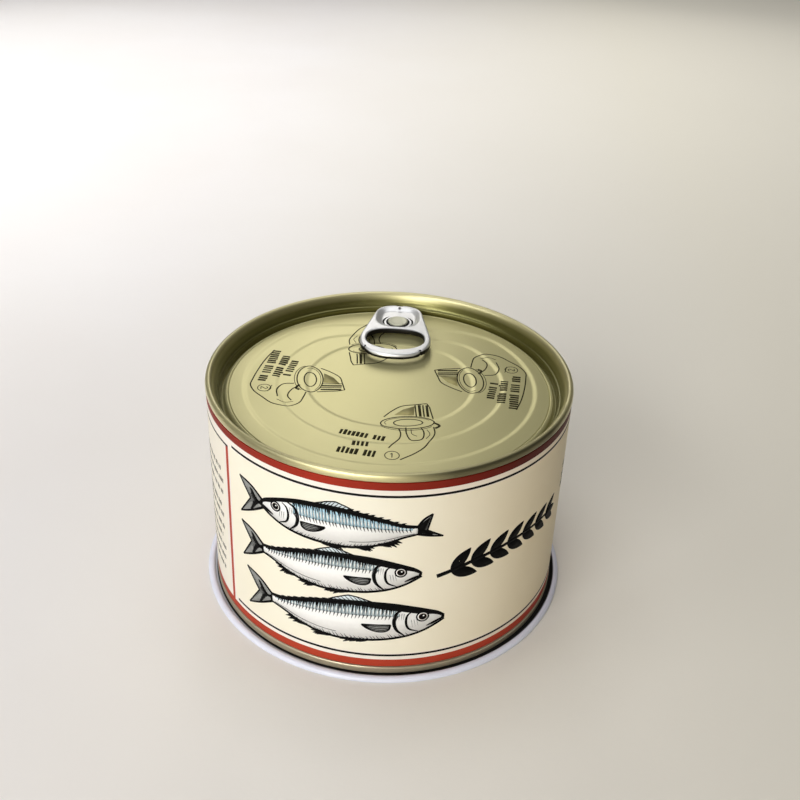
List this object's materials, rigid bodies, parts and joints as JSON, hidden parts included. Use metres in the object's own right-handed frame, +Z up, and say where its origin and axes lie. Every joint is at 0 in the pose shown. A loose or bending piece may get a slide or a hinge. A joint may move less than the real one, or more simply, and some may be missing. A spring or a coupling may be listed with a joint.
{
  "type": "food tin",
  "caption": "Shut round metal food tin with a ring-pull lid and a paper label printed with fish, standing in a shallow white plastic lid.",
  "frame": {"origin": "middle of the underside of the white plastic lid the tin stands in", "axes": "+Z up along the tin's axis, +Y towards the nose of the ring pull, which is at the back when the fish on the label face -Y"},
  "size_m": [0.108, 0.108, 0.0664],
  "materials": {
    "gold_lacquer": "satin gold lacquer on tinplate",
    "label_paper": "smooth cream paper with red, black and blue-grey print",
    "tab_aluminium": "satin",
    "white_plastic": "soft gloss"
  },
  "bodies": {
    "root": {"tin_body": "gold_lacquer", "top_end": "gold_lacquer", "bottom_end": "gold_lacquer", "label": "label_paper", "pull_tab": "tab_aluminium", "base_cap": "white_plastic"}
  },
  "joints": []
}
